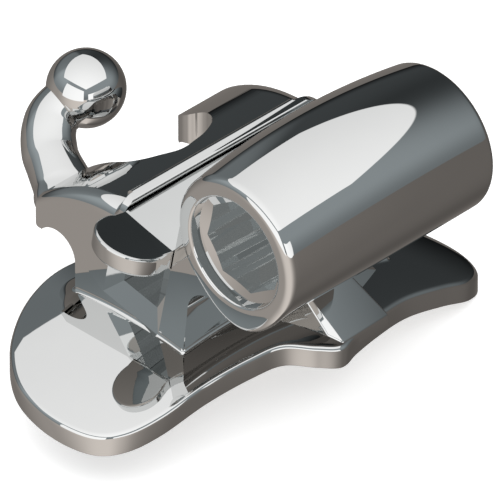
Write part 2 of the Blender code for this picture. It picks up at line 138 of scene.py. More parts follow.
class SlotSizes(bpy.types.PropertyGroup):
    torque: turn("Torque", 11.5, "Turn of the slot and its cap about the tube's axis")
    cap_width: length("Cap width", 0.842, "Width of the slot cap")
    cap_thickness: length("Cap thickness", 0.285, "Thickness of the strip")
    cap_depth: length("Cap depth", 0.678, "Top of the cap, below the tube's axis")
    cap_length: length("Cap length", 3.400, "Distal end of the cap")
    cap_clearance: length("Cap clearance", 0.012, "Joint between the cap and the casting")
    cap_edge: length("Cap edge", 0.050, "Rounding of the tab's edges")
    tab_length: length("Tab length", 0.740, "How far the round tab stands out")
    tab_radius: length("Tab radius", 0.465, "Radius of the round tab, a little wider than the strip")
    tab_start: turn("Tab start", 80, "Where the round of the tab starts, from the strip")
    tab_rise: turn("Tab rise", 14, "Upward bend of the tab")
    width: length("Slot width", 0.572, "Width of the archwire slot")
    depth: length("Slot depth", 0.855, "Depth of the slot below the cap's seat")
    shift: length("Slot shift", 0.050, "Offset of the slot from the middle of the cap")
    funnel_side: length("Funnel side", 0.185, "Flare of the slot's mouth to each side")
    funnel_drop: length("Funnel drop", 0.245, "Flare of the slot's mouth downwards")
    funnel_depth: length("Funnel depth", 0.125, "Length of the flare")
    web_inset: length("Web inset", 0.041, "Step from the tube's side to the web")


class WingSizes(bpy.types.PropertyGroup):
    front: length("Front", 0.030, "Front face of the body")
    back: length("Back", 3.480, "Distal end of the body")
    wall: length("Wall", 0.870, "Foot of the occlusal wall, from the tube's axis")
    lean: length("Lean", 0.070, "How far that wall leans in up to the arch")
    arch: length("Arch", 0.380, "Radius of the arch under the tube")
    waist: length("Waist", 2.695, "Gum-side wall under the wings")
    undercut_end: turn("Undercut end", 42, "Where the undercut's arc meets the wing")
    reach: length("Reach", 3.360, "Tips of the wings")
    lip: length("Lip", 0.100, "Flat under the wings' tips, outside the undercut")
    tip: length("Tip", 0.110, "Rounding of the tips")
    thickness: length("Thickness", 0.430, "Thickness of the mesial wing at its tip")
    rear_rise: length("Rear rise", 0.110, "How much thinner the distal wing is")
    land: length("Land", 0.095, "Half width of the land beside the cap")
    land_rise: length("Land rise", 0.080, "Height of the land above the cap")
    saddle: length("Saddle", 2.200, "Radius of the saddle's convex top")
    saddle_step: length("Saddle step", 0.132, "Height of the land above the saddle")
    mesial_roll: length("Mesial roll", 0.240, "Radius of the rolled front edge")
    distal_roll: length("Distal roll", 0.520, "Radius of the rolled distal edge")
    taper: amount("Roll taper", 0.50, "Share of the roll that is lost towards the wing's tip")
    notch_land: length("Notch land", 0.298, "From the land to the bottom of the notch between the wings")
    notch_x: length("Notch place", 1.560, "Where the notch is deepest")
    lip_x: length("Lip place", 2.295, "Lip of the rear wing over the notch")


class PadSizes(bpy.types.PropertyGroup):
    thickness: length("Thickness", 0.300, "Thickness of the bonding pad")
    depth: length("Depth", 1.761, "Top of the dome, below the tube's axis")
    top_x: length("Top X", 0.950, "Highest point of the dome along the tube")
    top_y: length("Top Y", 1.810, "Highest point of the dome across the tube")
    bow_x: length("Bow X", 7.600, "Radius of the dome along the tube")
    bow_y: length("Bow Y", 5.700, "Radius of the dome across the tube")
    edge: length("Edge", 0.060, "Rounding of the upper edge")
    fillet: length("Fillet", 0.055, "Fillet where the body stands on the pad")
    start: place("Start", -1.680, "Mesial end of the pad")
    length: length("Length", 6.400, "Length of the pad")
    width: length("Width", 3.380, "Width of the pad, from the tip of its cusp")
    cusp_y: place("Cusp Y", -0.160, "Cusp of the pad across the tube")
    buttress_x: length("Buttress", 1.740, "Tip of the buttress on the cusp")
    buttress_top: length("Buttress top", 0.590, "Height of the buttress at the wall")
    buttress_crest: length("Buttress crest", 0.560, "Width of the buttress at its top")
    buttress_foot: length("Buttress foot", 0.900, "Width of the buttress along the pad's edge")


class HookSizes(bpy.types.PropertyGroup):
    root_width: length("Root width", 0.840, "Width of the arm at its root, as wide as the wing's tip")
    root_height: length("Root height", 0.500, "Height of the arm at its root")
    width: length("Width", 0.680, "Width of the arm in the bend")
    neck: length("Neck", 0.640, "Width of the arm at the ball")
    ball: length("Ball", 0.486, "Radius of the ball")
    ball_x: length("Ball X", 1.600, "Centre of the ball along the tube")
    ball_y: length("Ball Y", 4.090, "Centre of the ball across the tube")
    ball_z: place("Ball Z", -0.420, "Centre of the ball above the tube's axis")


class Finishes(bpy.types.PropertyGroup):
    casting: shade("Casting", (0.66, 0.665, 0.66), "Colour of the polished casting")
    cap: shade("Cap", (0.60, 0.61, 0.605), "Colour of the cap's rolled strip")
    haze: amount("Haze", 0.006, "Roughness where the polish is least")
    grain: amount("Grain", 0.01, "Strength of the faint polishing marks")
    # Painted glow: the bores' walls give off this light to mirrored rays, standing in for light mirrored
    # many times between them
    bore_painted_glow: amount("Bore painted glow", 0.09, "Light that the bores' walls pass to each other")


class StudioLook(bpy.types.PropertyGroup):
    frame_width: length("Frame width", 5.952, "Width of the picture at the part")
    aim_right: length("Aim right", 0.198, "Picture centre, right of the tube's mouth")
    aim_up: length("Aim up", 0.042, "Picture centre, above the tube's mouth")
    azimuth: turn("Azimuth", -45, "Direction of the camera round the part")
    elevation: turn("Elevation", 35.264, "Height of the camera above the horizon")
    floor: shade("Floor", (0.80, 0.80, 0.80), "Colour of the floor")
    panel: shade("Panel", (1.0, 1.0, 1.0), "Colour of the light panels")
    wall: shade("Wall", (0.31, 0.345, 0.36), "Colour of the studio walls")
    ground: shade("Ground", (0.50, 0.455, 0.42), "Colour of the floor as the metal mirrors it")
    floor_reach: length("Floor reach", 120, "From the middle of the floor to its edges")
    softbox: length("Softbox", 30, "Width of the soft light")
    softbox_power: amount("Softbox power", 0.004, "Power of the soft light")


GROUPS = {
    "buccal_tube": TubeSizes,
    "buccal_slot": SlotSizes,
    "buccal_wing": WingSizes,
    "buccal_pad": PadSizes,
    "buccal_hook": HookSizes,
    "buccal_finish": Finishes,
    "buccal_studio": StudioLook,
}


def settings(name):
    return getattr(bpy.context.scene, "buccal_" + name)


# Plain geometry

ARC_STEPS = 24


def arc(centre, radius, start, end, steps=ARC_STEPS):
    """Points of an arc in a flat outline, both ends included."""
    step = (end - start) / steps
    return [
        (centre[0] + radius * cos(start + step * i), centre[1] + radius * sin(start + step * i))
        for i in range(steps + 1)
    ]


def quarter(radius, steps):
    """Rounding of an edge as pairs: distance from the end face, and distance in from the side."""
    turns = [pi / 2 * i / steps for i in range(steps + 1)]
    return [(radius * (1 - sin(turned)), radius * (1 - cos(turned))) for turned in turns]


def smooth_run(points, steps, closed):
    """A curve through the points, with this many steps from each to the next."""
    count = len(points)
    run = []
    for i in range(count if closed else count - 1):
        around = [(i + k) % count if closed else min(max(i + k, 0), count - 1) for k in (-1, 0, 1, 2)]
        before, here, after, beyond = (Vector(points[k]) for k in around)
        for step in range(steps):
            u = step / steps
            bend = 2 * before - 5 * here + 4 * after - beyond
            twist = 3 * here - before - 3 * after + beyond
            run.append(0.5 * (2 * here + (after - before) * u + bend * u * u + twist * u * u * u))
    if not closed:
        run.append(Vector(points[-1]))
    return run


def outward(loop):
    """Unit normals of a closed flat loop that runs anticlockwise."""
    normals = []
    for i, point in enumerate(loop):
        after = Vector(loop[(i + 1) % len(loop)]) - Vector(point)
        before = Vector(point) - Vector(loop[i - 1])
        along = before.normalized() + after.normalized()
        normals.append(Vector((along.y, -along.x)).normalized())
    return normals


def finish_mesh(name, mesh):
    """Close a bmesh into an object whose faces point out."""
    bmesh.ops.recalc_face_normals(mesh, faces=mesh.faces)
    data = bpy.data.meshes.new(name)
    mesh.to_mesh(data)
    mesh.free()
    item = bpy.data.objects.new(name, data)
    bpy.context.scene.collection.objects.link(item)
    return item


def skin(name, rings, ends="fan"):
    """A solid skinned over rings of equally many points. Its ends are fans, flat faces or joined."""
    mesh = bmesh.new()
    rows = [[mesh.verts.new(point) for point in ring] for ring in rings]
    pairs = list(zip(rows, rows[1:]))
    if ends == "joined":
        pairs.append((rows[-1], rows[0]))
    for row, following in pairs:
        for i in range(len(row)):
            j = (i + 1) % len(row)
            mesh.faces.new((row[i], row[j], following[j], following[i]))
    for row in () if ends == "joined" else (rows[0], rows[-1]):
        if ends == "flat":
            mesh.faces.new(row)
            continue
        middle = mesh.verts.new(sum((vert.co for vert in row), Vector()) / len(row))
        for i in range(len(row)):
            mesh.faces.new((row[i], row[(i + 1) % len(row)], middle))
    return finish_mesh(name, mesh)


def prism(name, outline, direction):
    """A flat outline of 3D points carried along a direction."""
    mesh = bmesh.new()
    face = mesh.faces.new([mesh.verts.new(point) for point in outline])
    side = bmesh.ops.extrude_face_region(mesh, geom=[face])["geom"]
    moved = [item for item in side if isinstance(item, bmesh.types.BMVert)]
    bmesh.ops.translate(mesh, verts=moved, vec=direction)
    return finish_mesh(name, mesh)


def settle(item):
    """Replace an object's mesh by what its modifiers make of it."""
    bpy.context.view_layer.update()
    evaluated = item.evaluated_get(bpy.context.evaluated_depsgraph_get())
    made = bpy.data.meshes.new_from_object(evaluated)
    item.modifiers.clear()
    item.data = made


def combine(target, tool, operation):
    """Join a tool to the target, or cut the target with it, and drop the tool."""
    name = tool.name
    step = target.modifiers.new(name, "BOOLEAN")
    step.operation = operation
    step.object = tool
    step.solver = "EXACT"
    step.material_mode = "TRANSFER"
    settle(target)
    bpy.data.objects.remove(tool, do_unlink=True)
    if not target.data.polygons:
        raise RuntimeError(f"{target.name} lost its faces at {name}")


def round_edges(item, width, sharp=None):
    """Round a simple solid's edges: those sharper than an angle in degrees, or else by their weights."""
    step = item.modifiers.new("rounding", "BEVEL")
    step.width = width
    step.segments = 6
    step.limit_method = "ANGLE" if sharp else "WEIGHT"
    if sharp:
        step.angle_limit = radians(sharp)
    settle(item)


# Slot and wings


def torqued(across, up):
    """A point of the turned slot frame as (y, z)."""
    torque = settings("slot").torque
    return (across * cos(torque) - up * sin(torque), across * sin(torque) + up * cos(torque))


def web_across():
    """The web's face, beside the cap, as a distance across the turned frame."""
    return settings("tube").radius - settings("slot").web_inset


def cap_middle():
    return web_across() + settings("slot").cap_width / 2


def seat_level():
    slot = settings("slot")
    return -slot.cap_depth - slot.cap_thickness - slot.cap_clearance


def slot_floor():
    return seat_level() - settings("slot").depth


def slot_sides():
    slot = settings("slot")
    middle = cap_middle() + slot.shift
    return middle - slot.width / 2, middle + slot.width / 2


def land_start():
    """The land's near edge, as a distance across the turned frame."""
    slot = settings("slot")
    return web_across() + slot.cap_width + slot.cap_clearance


def land_centre():
    slot = settings("slot")
    wing = settings("wing")
    return torqued(land_start() + wing.land, -slot.cap_depth + wing.land_rise - wing.land)


def saddle_top(y):
    """Height of the saddle, which is level under the land and falls towards the wings' tips."""
    wing = settings("wing")
    land_y, land_z = land_centre()
    drop = wing.saddle - sqrt(wing.saddle**2 - (y - land_y) ** 2)
    return land_z + wing.land - wing.saddle_step - drop


def undercut(low):
    """Hollow under a wing as (y, z), from the waist to the flat under the tip, which lies at this height."""
    wing = settings("wing")
    radius = (wing.reach - wing.lip - wing.waist) / (1 + cos(wing.undercut_end))
    centre = (wing.waist + radius, low - radius * sin(wing.undercut_end))
    return arc(centre, radius, pi, wing.undercut_end)


def body_outline():
    """Front view of the body as (y, z): arch, web, slot, land, saddle, wing and waist."""
    wing = settings("wing")
    slot = settings("slot")
    tube = settings("tube")
    pad = settings("pad")
    arch_y = wing.wall - wing.lean - wing.arch
    arch_z = -sqrt((tube.radius + wing.arch) ** 2 - arch_y**2)
    outline = [(wing.wall + wing.lean / 3, dome(wing.front, wing.wall) - pad.thickness / 2)]
    outline += arc((arch_y, arch_z), wing.arch, 0, atan2(-arch_z, -arch_y))
    outline += [(0, -tube.radius / 2), torqued(web_across() - slot.cap_clearance, 0)]
    outline.append(torqued(web_across() - slot.cap_clearance, seat_level()))
    outline.append(torqued(land_start(), seat_level()))
    # The land's near edge is rounded tightly, and its far edge widely. Both are shares of its half width.
    for share, across, start, end in ((0.30, 0.30, pi, pi / 2), (0.85, 1.15, pi / 2, -slot.torque)):
        corner = share * wing.land
        centre = torqued(land_start() + across * wing.land, -slot.cap_depth + wing.land_rise - corner)
        outline += arc(centre, corner, start + slot.torque, end + slot.torque)

    saddle_y = land_centre()[0] + wing.land
    slope = asin((wing.reach - wing.tip - land_centre()[0]) / wing.saddle)
    tip_y = wing.reach - wing.tip * (1 - sin(slope))
    along = [saddle_y + (tip_y - saddle_y) * i / ARC_STEPS for i in range(ARC_STEPS)]
    outline += [(y, saddle_top(y)) for y in along]
    tip = (wing.reach - wing.tip, saddle_top(tip_y) - wing.tip * cos(slope))
    outline += arc(tip, wing.tip, pi / 2 - slope, 0, 8)
    lip = saddle_top(wing.reach) - wing.thickness
    outline += arc((wing.reach - wing.lip / 2, lip + wing.lip / 2), wing.lip / 2, 0, -pi / 2, 6)
    outline += reversed(undercut(lip))
    outline.append((wing.waist, dome(wing.front, wing.waist) - pad.thickness / 2))
    return outline


def build_body():
    wing = settings("wing")
    outline = [(wing.front, y, z) for y, z in body_outline()]
    return prism("tube_casting_dressed", outline, (wing.back - wing.front, 0, 0))


def build_plan():
    """Outline of the wings seen from the buccal side, which trims the body."""
    wing = settings("wing")
    deep = land_centre()[0] + wing.land + wing.notch_land
    depth = wing.reach - deep
    outside = -depth / 2
    # Each stretch starts from its own X; the pairs are shares of the notch's depth.
    stretches = (
        (wing.front, ((-0.52, 1.10), (0.30, 1.08), (0.62, 1.03), (0.78, 0.88), (0.84, 0.64), (0.89, 0.37))),
        (wing.notch_x, ((-0.49, 0.22), (-0.33, 0.12), (-0.14, 0.02), (0, 0), (0.14, 0.02), (0.35, 0.06))),
        (wing.notch_x, ((0.55, 0.15),)),
        (wing.lip_x, ((-0.07, 0.23), (0.02, 0.36), (0.06, 0.50), (0.02, 0.65), (0, 0.73), (0.02, 0.84))),
        (wing.lip_x, ((0.10, 0.97), (0.30, 1.01))),
        (wing.back, ((-0.30, 0.94), (-0.07, 0.77), (0.07, 0.38), (0.16, -0.41))),
    )
    run = [Vector((outside, outside))]
    for start, shares in stretches:
        run += [Vector((start + x * depth, deep + y * depth)) for x, y in shares]
    run.append(Vector((run[-1].x, outside)))
    below = -3 * MM
    points = [(point.x, point.y, below) for point in smooth_run(run, 12, True)]
    return prism("plan_trim", points, (0, 0, -2 * below))


ROLL_STEPS = 18


def roll_cutter(name, x, inwards, radius):
    """Cutter that rolls the saddle's edge down at one end, less and less towards the wing's tip."""
    wing = settings("wing")
    above = 4 * radius
    land_y, land_z = land_centre()
    land_top = land_z + wing.land
    edge = land_y + wing.land
    reach = wing.reach + radius - edge
    route = [(land_y - 2 * wing.land, land_top, 0.0), (land_y, land_top, 0.0)]
    for i in range(ROLL_STEPS + 1):
        share = i / ROLL_STEPS
        route.append((edge + reach * share, saddle_top(edge + reach * share), share))
    rings = []
    for y, top, share in route:
        roll = radius * (1 - wing.taper * share)
        centre = (x + inwards * roll, top - roll)
        outline = arc(centre, roll, pi / 2, pi if inwards > 0 else 0)
        outline += [(x - inwards * radius, top - roll), (x - inwards * radius, top + above)]
        outline.append((centre[0], top + above))
        rings.append([(px, y, pz) for px, pz in outline])
    return skin(name, rings, "flat")


def build_rear_undercut():
    """The distal wing is hollowed out more than the mesial one, so that its lip stands free."""
    wing = settings("wing")
    low = saddle_top(wing.reach) - wing.thickness + wing.rear_rise
    outline = undercut(low)
    outline += [(wing.reach + wing.lip, low), (wing.reach + wing.lip, outline[0][1])]
    start = wing.notch_x + wing.tip
    points = [(start, y, z) for y, z in outline]
    return prism("rear_undercut", points, (wing.back + wing.tip - start, 0, 0))


def build_mesial_roll():
    return roll_cutter("mesial_roll_cut", settings("wing").front, 1, settings("wing").mesial_roll)


def build_distal_roll():
    return roll_cutter("distal_roll_cut", settings("wing").back, -1, settings("wing").distal_roll)


# Headgear tube

TUBE_SIDES = 192
TUBE_STEPS = 56
RIM_STEPS = 12
CROWN_REACH = 0.53  # from the tube's middle to where the bulge has faded out, as a share of the length


def tube_ring(x, inset):
    """One ring of the tube's outside. Its gum-side flank is crowned and its mouth has a lip."""
    tube = settings("tube")
    share = (x - tube.length / 2) / (CROWN_REACH * tube.length)
    crown = tube.crown * max(0.0, 1 - share * share)
    fade = max(0.0, 1 - x / tube.lip_length) ** 2
    radius = tube.radius + crown / 2 - inset
    shift_y = crown / 2 * cos(tube.crown_turn)
    shift_z = crown / 2 * sin(tube.crown_turn)
    ring = []
    for i in range(TUBE_SIDES):
        angle = 2 * pi * i / TUBE_SIDES
        away = (angle - tube.lip_turn + pi) % (2 * pi) - pi
        bulge = tube.lip_drop * fade * max(0.0, cos(min(pi / 2, abs(away) / tube.lip_spread * pi / 3))) ** 2
        reach = radius + bulge
        ring.append((x, shift_y + reach * cos(angle), shift_z + reach * sin(angle)))
    return ring


def build_tube():
    tube = settings("tube")
    rounding = quarter(tube.rim, RIM_STEPS)
    rings = [tube_ring(back, inset) for back, inset in reversed(rounding)]
    span = tube.length - 2 * tube.rim
    rings += [tube_ring(tube.rim + span * i / TUBE_STEPS, 0) for i in range(1, TUBE_STEPS)]
    rings += [tube_ring(tube.length - back, inset) for back, inset in rounding]
    return skin("headgear_tube", rings)


def circle(x, radius):
    turns = [2 * pi * i / TUBE_SIDES for i in range(TUBE_SIDES)]
    return [(x, radius * cos(turned), radius * sin(turned)) for turned in turns]


def build_lumen():
    """Eight-sided bore with slightly rounded corners, and a broken edge at the distal end."""
    tube = settings("tube")
    inner = tube.lumen / 2 - tube.lumen_round

    def ring(x, spread):
        points = []
        for i in range(8):
            middle = tube.lumen_turn + pi / 4 * i
            corner = inner / cos(pi / 8)
            centre = Vector((corner * cos(middle), corner * sin(middle)))
            for k in range(5):
                angle = middle + pi / 8 * (k - 2) / 2
                radius = tube.lumen_round + spread
                points.append((x, centre.x + radius * cos(angle), centre.y + radius * sin(angle)))
        return points

    past = 0.2 * MM
    broken = 0.035 * MM
    rings = [ring(-past, 0), ring(tube.length - broken, 0)]
    rings += [ring(tube.length, broken), ring(tube.length + past, broken)]
    return skin("lumen_cut", rings)


AHEAD = 0.05 * MM  # how far the flares' cutters start ahead of the front
OVERLAP = 0.02 * MM  # how far a flare's cutter laps over the edge that it meets


def build_mouth():
    """Round mouth with a broken edge, and a short flare from it down to the eight-sided lumen."""
    tube = settings("tube")
    broken = 0.04 * MM
    draft = 0.01 * MM
    rings = [circle(-AHEAD, tube.mouth + OVERLAP)]
    rings += [circle(x, radius) for x, radius in arc((broken, tube.mouth), broken, -pi, -pi / 2, 8)]
    rings.append(circle(0.75 * tube.mouth_depth, tube.mouth - broken - draft))
    rings.append(circle(tube.mouth_depth, tube.lumen / 2 - OVERLAP))
    return skin("mouth_cut", rings)


def build_slot():
    """Archwire slot under the cap, from end to end of the body."""
    wing = settings("wing")
    near, far = slot_sides()
    floor = slot_floor()
    corners = [(near, floor), (far, floor), (far, seat_level()), (near, seat_level())]
    past = 0.1 * MM
    outline = [(wing.front - past, *torqued(across, up)) for across, up in corners]
    return prism("slot_cut", outline, (wing.back - wing.front + 2 * past, 0, 0))


def build_funnel():
    """Flared mouth of the slot."""
    slot = settings("slot")
    wing = settings("wing")
    near, far = slot_sides()
    top = seat_level() - OVERLAP
    rings = []
    for x, spread in ((-AHEAD, 1.0), (wing.front, 1.0), (wing.front + slot.funnel_depth, 0.0)):
        sides = slot.funnel_side * spread
        low = slot_floor() - slot.funnel_drop * spread
        corners = [(near - sides, low), (far + sides, low), (far + sides, top), (near - sides, top)]
        rings.append([(x, *torqued(across, up)) for across, up in corners])
    return skin("funnel_cut", rings)


# Bonding pad

PAD_STEPS = 12
PAD_RINGS = 26


def dome(x, y):
    """Height of the pad's outer face."""
    pad = settings("pad")
    return -pad.depth - (x - pad.top_x) ** 2 / (2 * pad.bow_x) - (y - pad.top_y) ** 2 / (2 * pad.bow_y)


def pad_outline():
    """Peanut outline of the pad, as shares of its length and of its width from the cusp's tip."""
    pad = settings("pad")
    shares = (
        (0, 0.467), (0.016, 0.296), (0.062, 0.204), (0.138, 0.16), (0.247, 0.148), (0.356, 0.13),
        (0.427, 0.11), (0.481, 0.04), (0.525, 0), (0.575, 0.024), (0.645, 0.056), (0.747, 0.098),
        (0.856, 0.118), (0.936, 0.135), (0.99, 0.2), (1, 0.325), (0.962, 0.491), (0.898, 0.698),
        (0.809, 0.87), (0.716, 0.929), (0.606, 0.911), (0.497, 0.905), (0.403, 0.95), (0.309, 1),
        (0.231, 0.982), (0.153, 0.917), (0.075, 0.805), (0.02, 0.654),
    )
    return [Vector((pad.start + x * pad.length, pad.cusp_y + y * pad.width)) for x, y in shares]


def build_pad():
    pad = settings("pad")
    edge = smooth_run(pad_outline(), PAD_STEPS, True)
    normals = outward(edge)
    # The rings close in on a point from which the whole outline can be seen.
    middle = Vector((pad.top_x + 0.55 * MM, pad.top_y - 0.25 * MM))

    def ring(share, inset, drop):
        points = []
        for point, normal in zip(edge, normals):
            moved = point - normal * inset
            flat = middle + (moved - middle) * share
            points.append((flat.x, flat.y, dome(flat.x, flat.y) - drop))
        return points

    shares = [(i + 1) / PAD_RINGS for i in range(PAD_RINGS)]
    rings = [ring(share, pad.edge, 0) for share in shares]
    rings += [ring(1, inset, drop) for inset, drop in quarter(pad.edge, 10)[1:]]
    low_edge = 0.03 * MM
    rings += [ring(1, inset, pad.thickness - up) for up, inset in quarter(low_edge, 4)]
    rings += [ring(share, low_edge, pad.thickness) for share in reversed(shares[:-1])]
    return skin("bonding_pad", rings)


def build_foot():
    """Concave fillet round the body's foot on the pad."""
    wing = settings("wing")
    pad = settings("pad")
    corner = 0.03 * MM
    spacing = 0.08 * MM
    foot = []
    for x, y, start in (
        (wing.back - corner, wing.waist - corner, 0),
        (wing.front + corner, wing.waist - corner, pi / 2),
        (wing.front + corner, wing.wall + corner, pi),
        (wing.back - corner, wing.wall + corner, 3 * pi / 2),
    ):
        foot += arc((x, y), corner, start, start + pi / 2, 8)
    spaced = []
    for i, point in enumerate(foot):
        here = Vector(point)
        after = Vector(foot[(i + 1) % len(foot)])
        parts = max(1, round((after - here).length / spacing))
        spaced += [here + (after - here) * part / parts for part in range(parts)]
    normals = outward(spaced)

    def ring(out, height):
        points = []
        for point, normal in zip(spaced, normals):
            flat = point + normal * out
            points.append((flat.x, flat.y, dome(flat.x, flat.y) + height))
        return points

    sunk = -pad.thickness / 3
    rings = [ring(pad.fillet, sunk)]
    rings += [ring(out, height) for out, height in quarter(pad.fillet, 14)]
    rings += [ring(-corner / 2, pad.fillet), ring(-corner / 2, sunk)]
    return skin("foot_fillet", rings, "joined")


def build_buttress():
    """Sloping web from the body's wall down to the cusp of the pad."""
    pad = settings("pad")
    wing = settings("wing")
    reach = wing.wall - pad.cusp_y
    inside = wing.wall + reach / 10
    sunk = pad.thickness / 2
    proud = pad.thickness / 30
    crest = dome(pad.buttress_x, wing.wall) + pad.buttress_top
    start = pad.buttress_x - 0.06 * pad.buttress_foot
    corners = [(start, inside, crest), (start + pad.buttress_crest, inside, crest)]
    # Corners on the pad, as shares of the buttress's foot and of the way from the cusp to the wall.
    for along, back in ((0, 0.05), (-0.10, 0.22), (0.99, 0.17), (1.02, 0.32), (0.70, 0.74)):
        x = pad.buttress_x + along * pad.buttress_foot
        y = pad.cusp_y + back * reach
        corners += [(x, y, dome(x, y) + proud), (x, y, dome(x, y) - sunk)]
    for along in (-0.10, 0.45):
        x = pad.buttress_x + along * pad.buttress_foot
        corners.append((x, inside, dome(x, inside) - sunk))
    mesh = bmesh.new()
    for corner in corners:
        mesh.verts.new(corner)
    bmesh.ops.convex_hull(mesh, input=mesh.verts)
    bmesh.ops.dissolve_limit(mesh, angle_limit=radians(1), verts=mesh.verts, edges=mesh.edges)
    buttress = finish_mesh("buttress", mesh)
    broken = 0.018 * MM
    round_edges(buttress, broken, 12)
    return buttress


# Ball hook

HOOK_SIDES = 72
HOOK_STEPS = 12


def build_hook():
    """Arm and ball: as wide and flat as the wing's tip at its root, and round at the ball."""
    hook = settings("hook")
    wing = settings("wing")
    root = saddle_top(wing.reach)
    flat = hook.root_height / hook.root_width
    # Shares of the way from the wing's tip to the ball, then the width, and the height as a share of it.
    knots = (
        (0.30, -0.26, -0.54, hook.root_width, flat),
        (0.33, -0.07, -0.56, hook.root_width, flat),
        (0.40, 0.19, -0.54, (hook.root_width + hook.width) / 2, (1 + flat) / 2),
        (0.49, 0.62, -0.35, hook.width, 1),
        (0.55, 0.86, -0.17, hook.width, 1),
        (0.64, 1.07, 0.19, (hook.width + hook.neck) / 2, 1),
        (0.76, 1.15, 0.51, hook.neck, 1),
        (1.00, 1.00, 1.00, hook.neck, 1),
    )
    out = hook.ball_y - wing.reach
    rise = hook.ball_z - root
    route = [Vector((x * hook.ball_x, wing.reach + y * out, root + z * rise)) for x, y, z, *_ in knots]
    run = smooth_run(route, HOOK_STEPS, False)
    sizes = smooth_run([Vector(knot[3:]) for knot in knots], HOOK_STEPS, False)
    turns = [2 * pi * k / HOOK_SIDES for k in range(HOOK_SIDES)]
    rings = []
    for i, point in enumerate(run[:-1]):
        along = (run[i + 1] - run[max(0, i - 1)]).normalized()
        side = along.cross(Vector((0, 0, 1))).normalized()
        up = side.cross(along)
        wide = sizes[i].x / 2
        high = wide * sizes[i].y
        rings.append([point + side * wide * cos(turned) + up * high * sin(turned) for turned in turns])
    arm = skin("hook_arm", rings)
    mesh = bmesh.new()
    bmesh.ops.create_uvsphere(mesh, u_segments=112, v_segments=72, radius=hook.ball)
    bmesh.ops.translate(mesh, verts=mesh.verts, vec=(hook.ball_x, hook.ball_y, hook.ball_z))
    combine(arm, finish_mesh("hook_ball", mesh), "UNION")
    return arm


def build_cap():
    """Slot cap: a flat strip whose mesial end is a round tab bent up for the pliers."""
    slot = settings("slot")
    half = slot.cap_width / 2
    outline = [(0, -half), (slot.cap_length, -half), (slot.cap_length, half), (0, half)]
    centre = (slot.tab_radius - slot.tab_length, 0)
    outline += arc(centre, slot.tab_radius, slot.tab_start, 2 * pi - slot.tab_start, 72)
    cap = prism("slot_cap_dressed", [(x, y, 0) for x, y in outline], (0, 0, -slot.cap_thickness))

    # The tab's edges are rounded in full, and the strip's, which are sheared, by a share of that.
    sheared = 0.3
    mesh = bmesh.new()
    mesh.from_mesh(cap.data)
    weights = mesh.edges.layers.float.new("bevel_weight_edge")
    for edge in mesh.edges:
        ends = [vert.co for vert in edge.verts]
        if abs(ends[0].z - ends[1].z) < slot.cap_thickness / 2:
            edge[weights] = 1.0 if max(end.x for end in ends) < 0.01 * MM else sheared
    mesh.to_mesh(cap.data)
    mesh.free()
    round_edges(cap, slot.cap_edge)

    # The tab is bent up over this much of the strip to each side of its root.
    bend = 0.03 * MM
    mesh = bmesh.new()
    mesh.from_mesh(cap.data)
    for share in (-1, -0.5, 0, 0.5, 1):
        everything = list(mesh.verts) + list(mesh.edges) + list(mesh.faces)
        bmesh.ops.bisect_plane(mesh, geom=everything, plane_co=(share * bend, 0, 0), plane_no=(1, 0, 0))
    for vert in mesh.verts:
        past = bend - vert.co.x
        if past > 0:
            vert.co.z += tan(slot.tab_rise) * (past - bend if past > 2 * bend else past * past / (4 * bend))
        across = vert.co.y + cap_middle()
        vert.co.y, vert.co.z = torqued(across, vert.co.z - slot.cap_depth)
    mesh.to_mesh(cap.data)
    mesh.free()
    return cap


PACKED_CAP = 0.240 * MM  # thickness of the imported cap, whose lowest corner tells the height


def mouth_centre():
    """Where the tube's mouth lies in the frame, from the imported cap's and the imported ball's box."""
    low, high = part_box("slot_cap")
    slot = settings("slot")
    hook = settings("hook")
    corner = torqued(web_across(), -slot.cap_depth - PACKED_CAP)
    return Vector((high[0] - slot.cap_length, CAD_BOX[1][1] - hook.ball_y - hook.ball, low[2] - corner[1]))


# Materials


def new_material(name):
    material = bpy.data.materials.new(name)
    material.use_nodes = True
    tree = material.node_tree
    return material, tree, tree.nodes["Principled BSDF"]


def fill(node, values):
    """Set a node's inputs by their names or places."""
    for name, value in values.items():
        node.inputs[name].default_value = value


def shine(tree, surface, rays, strength, tint):
    """Let a surface give off light, but to one kind of ray alone."""
    path = tree.nodes.new("ShaderNodeLightPath")
    lift = tree.nodes.new("ShaderNodeMath")
    lift.operation = "MULTIPLY"
    fill(lift, {1: strength})
    tree.links.new(path.outputs[rays], lift.inputs[0])
    tree.links.new(lift.outputs[0], surface.inputs["Emission Strength"])
    fill(surface, {"Emission Color": tint})


